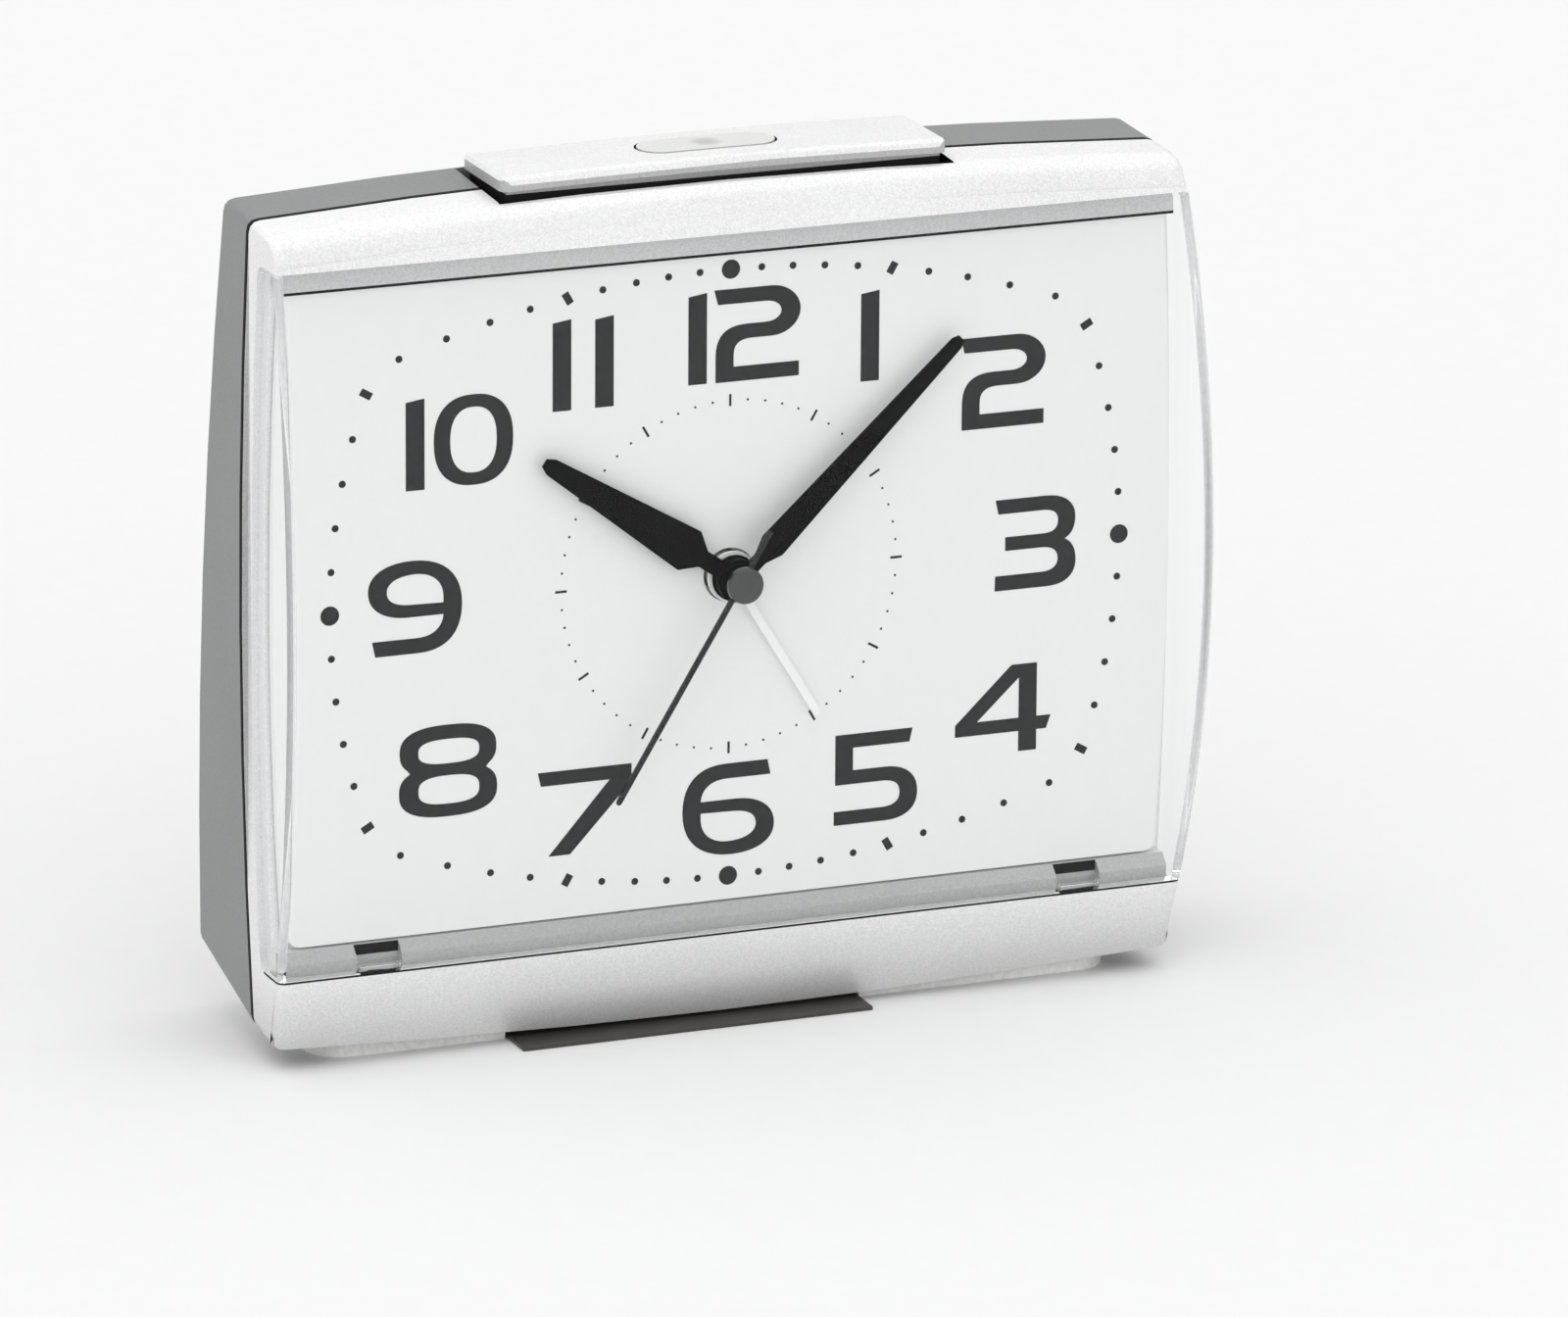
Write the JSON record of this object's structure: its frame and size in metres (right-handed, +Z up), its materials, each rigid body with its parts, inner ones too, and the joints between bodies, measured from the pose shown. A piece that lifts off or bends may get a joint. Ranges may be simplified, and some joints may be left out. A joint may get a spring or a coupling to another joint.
{
  "type": "quartz alarm clock",
  "caption": "Desk alarm clock with a curved clear front, printed dial, geared hands, snooze bar, setting knobs, alarm slide and a battery bay.",
  "frame": {"origin": "table plane, below the middle of the overall box", "axes": "+X to the right seen from the front, +Y from the front to the back, +Z up"},
  "size_m": [0.1212, 0.0384, 0.1094],
  "materials": {
    "silver_paint": "pearl silver paint, satin",
    "grey_plastic": "fine grain",
    "clear_acrylic": "clear, polished",
    "dial_white": "smooth, printed",
    "pale_plastic": "satin",
    "smoke_plastic": "satin sheet",
    "window_resin": "milky, polished",
    "white_resin": "moulded",
    "black_plastic": "fine grain",
    "hand_black": "matt black lacquer",
    "hand_white": "white lacquer",
    "steel": "plated",
    "magnet": "sintered magnet",
    "brass": "machined",
    "copper_wire": "lacquered winding",
    "board_green": "solder mask",
    "cell_wrap": "printed wrap"
  },
  "bodies": {
    "clock": {"front_bezel": "silver_paint", "lens_cover": "clear_acrylic", "dial_plate": "dial_white", "rear_case": "grey_plastic", "base_foot": "pale_plastic", "stabiliser_plate": "smoke_plastic", "snooze_spring_left": "steel", "snooze_spring_right": "steel", "snooze_board": "board_green", "snooze_switch": "black_plastic", "snooze_lamp": "window_resin", "case_screw_1": "steel", "case_screw_2": "steel", "case_screw_3": "steel", "case_screw_4": "steel", "movement_housing": "white_resin", "movement_cover": "white_resin", "middle_plate": "white_resin", "movement_screw_1": "steel", "movement_screw_2": "steel", "movement_screw_3": "steel", "movement_screw_4": "steel", "circuit_board": "board_green", "control_chip": "black_plastic", "quartz_crystal": "steel", "stator": "steel", "coil_core": "steel", "drive_coil": "copper_wire", "buzzer": "black_plastic", "battery_cell": "cell_wrap", "battery_contact_plus": "steel", "battery_spring_minus": "steel"},
    "snooze": {"snooze_bar": "silver_paint", "snooze_window": "window_resin"},
    "door": {"battery_door": "grey_plastic"},
    "alarm_slide": {"alarm_switch": "black_plastic"},
    "seconds": {"second_wheel": "white_resin", "second_hand": "hand_black", "second_hand_cap": "black_plastic"},
    "third": {"third_wheel": "white_resin"},
    "centre": {"centre_wheel": "brass"},
    "stepper": {"step_wheel": "white_resin"},
    "rotor_body": {"rotor": "magnet"},
    "minutes": {"minute_tube": "brass", "minute_hand": "hand_black"},
    "motion": {"motion_wheel": "white_resin", "time_set_knob": "black_plastic"},
    "hours": {"hour_wheel": "white_resin", "hour_hand": "hand_black"},
    "alarm": {"alarm_wheel": "white_resin", "alarm_hand": "hand_white"},
    "alarm_setting": {"alarm_set_pinion": "white_resin", "alarm_set_knob": "black_plastic"}
  },
  "joints": [
    {"name": "snooze_press", "type": "slide", "parent": "clock", "child": "snooze", "axis": [0, 0, -1], "range_m": [0, 0.0012], "stiffness_N_per_m": 400, "springref_m": -0.002, "deforming": ["snooze_spring_left", "snooze_spring_right"]},
    {"name": "door_hinge", "type": "hinge", "parent": "clock", "child": "door", "pos_m": [0, 0.01886, 0.0108], "axis": [-1, 0, 0], "range_deg": [0, 70]},
    {"name": "alarm_slide", "type": "slide", "parent": "clock", "child": "alarm_slide", "axis": [0, 0, 1], "range_m": [0, 0.005]},
    {"name": "second_turn", "type": "hinge", "parent": "clock", "child": "seconds", "pos_m": [0, 0, 0.05705], "axis": [0, 1, 0], "continuous": true},
    {"name": "third_turn", "type": "hinge", "parent": "clock", "child": "third", "pos_m": [0, 0, 0.06785], "axis": [0, 1, 0], "continuous": true},
    {"name": "centre_turn", "type": "hinge", "parent": "clock", "child": "centre", "pos_m": [0, 0, 0.05705], "axis": [0, 1, 0], "continuous": true},
    {"name": "step_turn", "type": "hinge", "parent": "clock", "child": "stepper", "pos_m": [0, 0, 0.04605], "axis": [0, 1, 0], "continuous": true},
    {"name": "rotor_turn", "type": "hinge", "parent": "clock", "child": "rotor_body", "pos_m": [-0.00728, 0, 0.04185], "axis": [0, 1, 0], "continuous": true},
    {"name": "minute_turn", "type": "hinge", "parent": "clock", "child": "minutes", "pos_m": [0, 0, 0.05705], "axis": [0, 1, 0], "continuous": true},
    {"name": "motion_turn", "type": "hinge", "parent": "clock", "child": "motion", "pos_m": [-0.01128, 0, 0.05295], "axis": [0, 1, 0], "continuous": true},
    {"name": "hour_turn", "type": "hinge", "parent": "clock", "child": "hours", "pos_m": [0, 0, 0.05705], "axis": [0, 1, 0], "continuous": true},
    {"name": "alarm_turn", "type": "hinge", "parent": "clock", "child": "alarm", "pos_m": [0, 0, 0.05705], "axis": [0, 1, 0], "continuous": true},
    {"name": "alarm_set_turn", "type": "hinge", "parent": "clock", "child": "alarm_setting", "pos_m": [0.01339, 0, 0.05296], "axis": [0, 1, 0], "continuous": true}
  ],
  "couplings": [
    {"joint": "third_turn", "follows": "second_turn", "ratio": -0.125},
    {"joint": "centre_turn", "follows": "second_turn", "ratio": 0.016667},
    {"joint": "step_turn", "follows": "second_turn", "ratio": -5},
    {"joint": "rotor_turn", "follows": "second_turn", "ratio": 30},
    {"joint": "motion_turn", "follows": "minute_turn", "ratio": -0.33333},
    {"joint": "hour_turn", "follows": "minute_turn", "ratio": 0.083333},
    {"joint": "alarm_set_turn", "follows": "alarm_turn", "ratio": -3.2}
  ]
}
